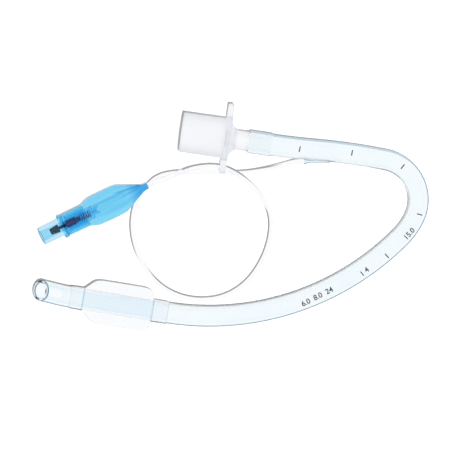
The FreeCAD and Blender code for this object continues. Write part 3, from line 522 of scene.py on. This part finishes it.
# Inflation line: one smooth run through the route's points
lineRoute = [
    (27.79, 21.38, 6.99), (24.8, 21.35, 7.14), (20.1, 20.1, 5.7), (13.2, 18.7, 2.8), (4.8, 17.5, 1.0),
    (-4.8, 17.5, 1.0), (-13.9, 17.8, 1.0), (-22.3, 17.8, 1.0), (-29.2, 16.1, 1.0), (-34.2, 10.8, 1.0),
    (-37.9, 4.2, 1.0), (-38.8, -3.6, 1.0), (-37.3, -11.6, 1.0), (-33.4, -19.6, 1.0), (-28.2, -25.7, 1.0),
    (-21.1, -30.0, 1.0), (-12.4, -31.8, 1.0), (-2.9, -30.6, 1.0), (5.4, -25.6, 1.0), (11.4, -17.6, 1.0),
    (15.0, -8.1, 1.0), (15.4, 1.5, 1.0), (11.3, 9.2, 1.2), (3.6, 16.5, 3.6), (-4.4, 20.3, 2.9),
    (-14.1, 19.7, 3.1), (-21.2, 16.8, 3.5), (-25.5, 14.6, 4.2), (-29.43, 13.53, 4.75),
    (-32.14, 12.23, 4.75),
]
line = {"width": 2.0 * mm, "length": 0.2286, "steps": 10, "roundness": 6, "order": 3}
curve = bpy.data.curves.new("inflationLine", "CURVE")
curve.dimensions = "3D"
curve.resolution_u = line["steps"]
curve.bevel_depth = line["width"] / 2
curve.bevel_resolution = line["roundness"]
curve.use_fill_caps = True
strand = curve.splines.new("NURBS")
strand.points.add(len(lineRoute) - 1)
for point, (x, y, z) in zip(strand.points, lineRoute):
    point.co = (x * mm, y * mm, z * mm, 1)
strand.order_u = line["order"]
strand.use_endpoint_u = True
inflationLine = addObject("inflationLine", curve)
curve.materials.append(linePvc)
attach(inflationLine, "root")
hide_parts("inflation_line")

# Film: what the cuff and the balloon share
shared = {"weld": 0.001 * mm, "foldFade": 0.3, "grain": 260, "clear": 0.02 * mm}


# Spins a profile of stations, each (along, half width, half height), about X
def spunFilm(stations, steps):
    shape = bmesh.new()
    points = [shape.verts.new((along * mm, wide * mm, 0)) for along, wide, _ in stations]
    rail = [shape.edges.new(pair) for pair in zip(points, points[1:])]
    bmesh.ops.spin(shape, geom=points + rail, cent=(0, 0, 0), axis=(1, 0, 0), angle=math.tau, steps=steps,
                   use_merge=True)
    bmesh.ops.remove_doubles(shape, verts=shape.verts, dist=shared["weld"])
    for vert in shape.verts:
        vert.co.z *= flatness(stations, vert.co.x / mm)
    return shape


# Height over width at a place along the film
def flatness(stations, place):
    for (a, wideA, tallA), (b, wideB, tallB) in zip(stations, stations[1:]):
        if place <= b:
            share = (place - a) / (b - a)
            return (tallA + (tallB - tallA) * share) / (wideA + (wideB - wideA) * share)
    return stations[-1][2] / stations[-1][1]


# 1 inside a range, easing to 0 over a margin at each end
def window(value, low, high, margin):
    inside = min((value - low) / margin, (high - value) / margin)
    share = max(0.0, min(1.0, inside))
    return share * share * (3 - 2 * share)


# Pulls the film in unevenly, and along its fold lines, each (angle, half width, from, to, depth)
def foldFilm(shape, folds, uneven):
    for vert in shape.verts:
        along = vert.co.x / mm
        out = Vector((0, vert.co.y, vert.co.z))
        angle = math.degrees(math.atan2(vert.co.z, vert.co.y))
        pull = uneven * (0.5 + 0.5 * noise.noise(vert.co * shared["grain"])) * mm
        for centre, spread, low, high, depth in folds:
            turn = (angle - centre + 180) % 360 - 180
            fade = window(along, low, high, (high - low) * shared["foldFade"])
            pull += depth * mm * math.exp(-(turn / spread) ** 2) * fade
        vert.co -= out.normalized() * pull


# Folds all round the film, each a little off its even place
def pleatsAround(count, sway, beat, spread, low, high, depth):
    return [(step * 360 / count + sway * math.sin(step * beat), spread, low, high, depth)
            for step in range(count)]


# Lays the film in its place, clear of the table, and gives it a wall
def finishFilm(name, shape, place, wall, material, node):
    bmesh.ops.transform(shape, matrix=place, verts=shape.verts)
    for vert in shape.verts:
        vert.co.z = max(vert.co.z, shared["clear"])
    bmesh.ops.recalc_face_normals(shape, faces=shape.faces)
    data = meshFrom(name, shape, material)
    smoothFaces(data)
    made = addObject(name, data)
    smooth = made.modifiers.new("smooth", "SUBSURF")
    smooth.levels = 1
    smooth.render_levels = 1
    skin = made.modifiers.new("wall", "SOLIDIFY")
    skin.thickness = wall * mm
    skin.offset = -1
    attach(made, "root")
    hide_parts(node)
    return made


# Cuff: round film with pleats where it is gathered on its sleeves
cuff = {
    "wall": 0.06, "steps": 120, "uneven": 0.05,
    "outline": (
        (0.0, 4.06), (0.12, 4.2), (0.6, 4.28), (2.6, 4.3), (4.7, 4.32), (5.15, 4.45), (5.5, 4.75),
        (6.2, 5.45), (7.2, 6.5), (8.2, 7.4), (9.2, 7.95), (10.6, 8.24), (12.5, 8.3), (17, 8.3), (22, 8.3),
        (26.5, 8.3), (28.4, 8.26), (29.8, 7.95), (30.8, 7.3), (31.3, 6.5), (31.45, 5.6), (31.5, 4.9),
        (31.62, 4.5), (32.1, 4.33), (34.5, 4.3), (37.0, 4.28), (37.4, 4.2), (37.5, 4.06)),
    "pleats": {"count": 15, "sway": 5, "beat": 2.3, "spread": 4.5, "low": 5.2, "high": 11.5,
               "depth": 0.24},
    "backPleats": {"count": 12, "sway": 7, "beat": 1.7, "spread": 5, "low": 28.5, "high": 32.2,
                   "depth": 0.2},
}
film = spunFilm([(along, out, out) for along, out in cuff["outline"]], cuff["steps"])
foldFilm(film, pleatsAround(**cuff["pleats"]) + pleatsAround(**cuff["backPleats"]), cuff["uneven"])
finishFilm("cuffBalloon", film, cuffPlace, cuff["wall"], cuffFilm, "cuff")
print("stage: cuff film")

# Pilot balloon: flattened film, welded on the sleeve and gathered on the line
pilot = {
    "wall": 0.1, "steps": 120, "uneven": 0.04,
    "stations": [
        (9.93, 4.15, 4.15), (10.0, 4.38, 4.38), (13.0, 4.42, 4.42), (18.4, 4.42, 4.42), (19.1, 4.5, 4.46),
        (20.2, 5.05, 4.6), (21.4, 5.55, 4.7), (22.8, 5.8, 4.73), (25.5, 5.85, 4.73), (30.0, 5.85, 4.73),
        (33.4, 5.8, 4.7), (34.5, 5.5, 4.55), (36.0, 4.8, 4.1), (38.5, 3.55, 3.1), (41.0, 2.4, 2.2),
        (42.6, 1.65, 1.6), (43.2, 1.42, 1.42), (44.1, 1.28, 1.28), (45.0, 1.36, 1.36), (45.2, 1.28, 1.28),
        (45.24, 1.03, 1.03)],
    "folds": [
        (54, 5, 18.6, 35.5, 0.35), (92, 4, 25, 42.5, 0.3), (128, 5, 20, 32, 0.2), (20, 5, 30, 43, 0.25),
        (150, 6, 33, 43, 0.3), (75, 5, 33, 43, 0.25), (235, 6, 19, 36, 0.3), (300, 6, 22, 42, 0.3),
        (110, 6, 36, 45, 0.15), (200, 8, 36, 45, 0.15)],
}
film = spunFilm(pilot["stations"], pilot["steps"])
foldFilm(film, pilot["folds"], pilot["uneven"])
pilotFilm = finishFilm("pilotFilm", film, valvePlace, pilot["wall"], blueFilm, "pilot_balloon")
print("stage: pilot balloon film")

# Valve spring: round wire in a fixed coil along the valve
spring = {"near": 14.67, "far": 20.83, "across": 1.2, "wire": 0.3, "turns": 7, "steps": 32, "sides": 10}
shape = bmesh.new()
bmesh.ops.create_circle(shape, segments=spring["sides"], radius=spring["wire"] / 2 * mm,
                        matrix=Matrix.Translation((spring["near"] * mm, spring["across"] * mm, 0)))
steps = spring["turns"] * spring["steps"]
bmesh.ops.spin(shape, geom=list(shape.verts) + list(shape.edges), cent=(0, 0, 0), axis=(1, 0, 0),
               steps=steps, dvec=((spring["far"] - spring["near"]) / steps * mm, 0, 0),
               angle=math.tau * spring["turns"])
bmesh.ops.holes_fill(shape, edges=[edge for edge in shape.edges if edge.is_boundary])
bmesh.ops.transform(shape, matrix=valvePlace, verts=shape.verts)
bmesh.ops.recalc_face_normals(shape, faces=shape.faces)
data = meshFrom("springCoil", shape, steel)
for face in data.polygons:
    face.use_smooth = len(face.vertices) == 4  # the two end faces stay flat
springCoil = addObject("springCoil", data)
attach(springCoil, "root")
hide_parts("valve_spring")
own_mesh(springCoil)
print("stage: valve spring")

print("stage: inflation line")

# Ink on the shaft: depth marks at (x, y, turn) and plain numbers at theirs, laid on the tube's top
marks = {
    "lift": 0.03 * mm, "above": 50 * mm, "grain": 0.25 * mm, "cuts": 2,
    "tickLong": 2.2, "tickWide": 0.45, "tickParts": (6, 2), "digitHigh": 2.9, "digitBold": 0.06,
    "ticks": [(59.41, -14.7, -46), (71.89, 1.11, -14), (65.3, 19.35, 52), (45.87, 24.5, 78),
              (25.93, 25.88, 78)],
    "digits": [("15.0", 67.98, -6.34, 48), ("1 4", 50.82, -20.79, 41), ("6.0  8.0  24", 32.73, -30.29, 27)],
}
shaftTree = BVHTree.FromObject(nodes["tube_shaft"], bpy.context.evaluated_depsgraph_get())


def inkPlace(x, y, turn):
    return Matrix.Translation((x * mm, y * mm, 0)) @ Matrix.Rotation(math.radians(turn), 4, "Z")


def finishInk(name, shape):
    long = [edge for edge in shape.edges if edge.calc_length() > marks["grain"]]
    bmesh.ops.subdivide_edges(shape, edges=long, cuts=marks["cuts"], use_grid_fill=True)
    bmesh.ops.triangulate(shape, faces=shape.faces)
    for vert in shape.verts:
        hit = shaftTree.ray_cast(Vector((vert.co.x, vert.co.y, marks["above"])), Vector((0, 0, -1)))[0]
        if hit:
            vert.co.z = hit.z + marks["lift"]
    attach(addObject(name, meshFrom(name, shape, ink)), "root")


shape = bmesh.new()
tickSize = Matrix.Diagonal((marks["tickLong"] / 2 * mm, marks["tickWide"] / 2 * mm, 1, 1))
partsLong, partsWide = marks["tickParts"]
for spot in marks["ticks"]:
    bmesh.ops.create_grid(shape, x_segments=partsLong, y_segments=partsWide, size=1,
                          matrix=inkPlace(*spot) @ tickSize)
finishInk("depthMarks", shape)

shape = bmesh.new()
for number, *spot in marks["digits"]:
    letters = bpy.data.curves.new("digits", "FONT")
    letters.body = number
    letters.size = marks["digitHigh"] * mm
    letters.offset = marks["digitBold"] * mm
    letters.align_x = "CENTER"
    letters.align_y = "CENTER"
    holder = addObject("digits", letters)
    flat = bpy.data.meshes.new_from_object(holder)
    flat.transform(inkPlace(*spot))
    shape.from_mesh(flat)
    bpy.data.objects.remove(holder)
    bpy.data.curves.remove(letters)
    bpy.data.meshes.remove(flat)
finishInk("plainNumbers", shape)
print("stage: ink")
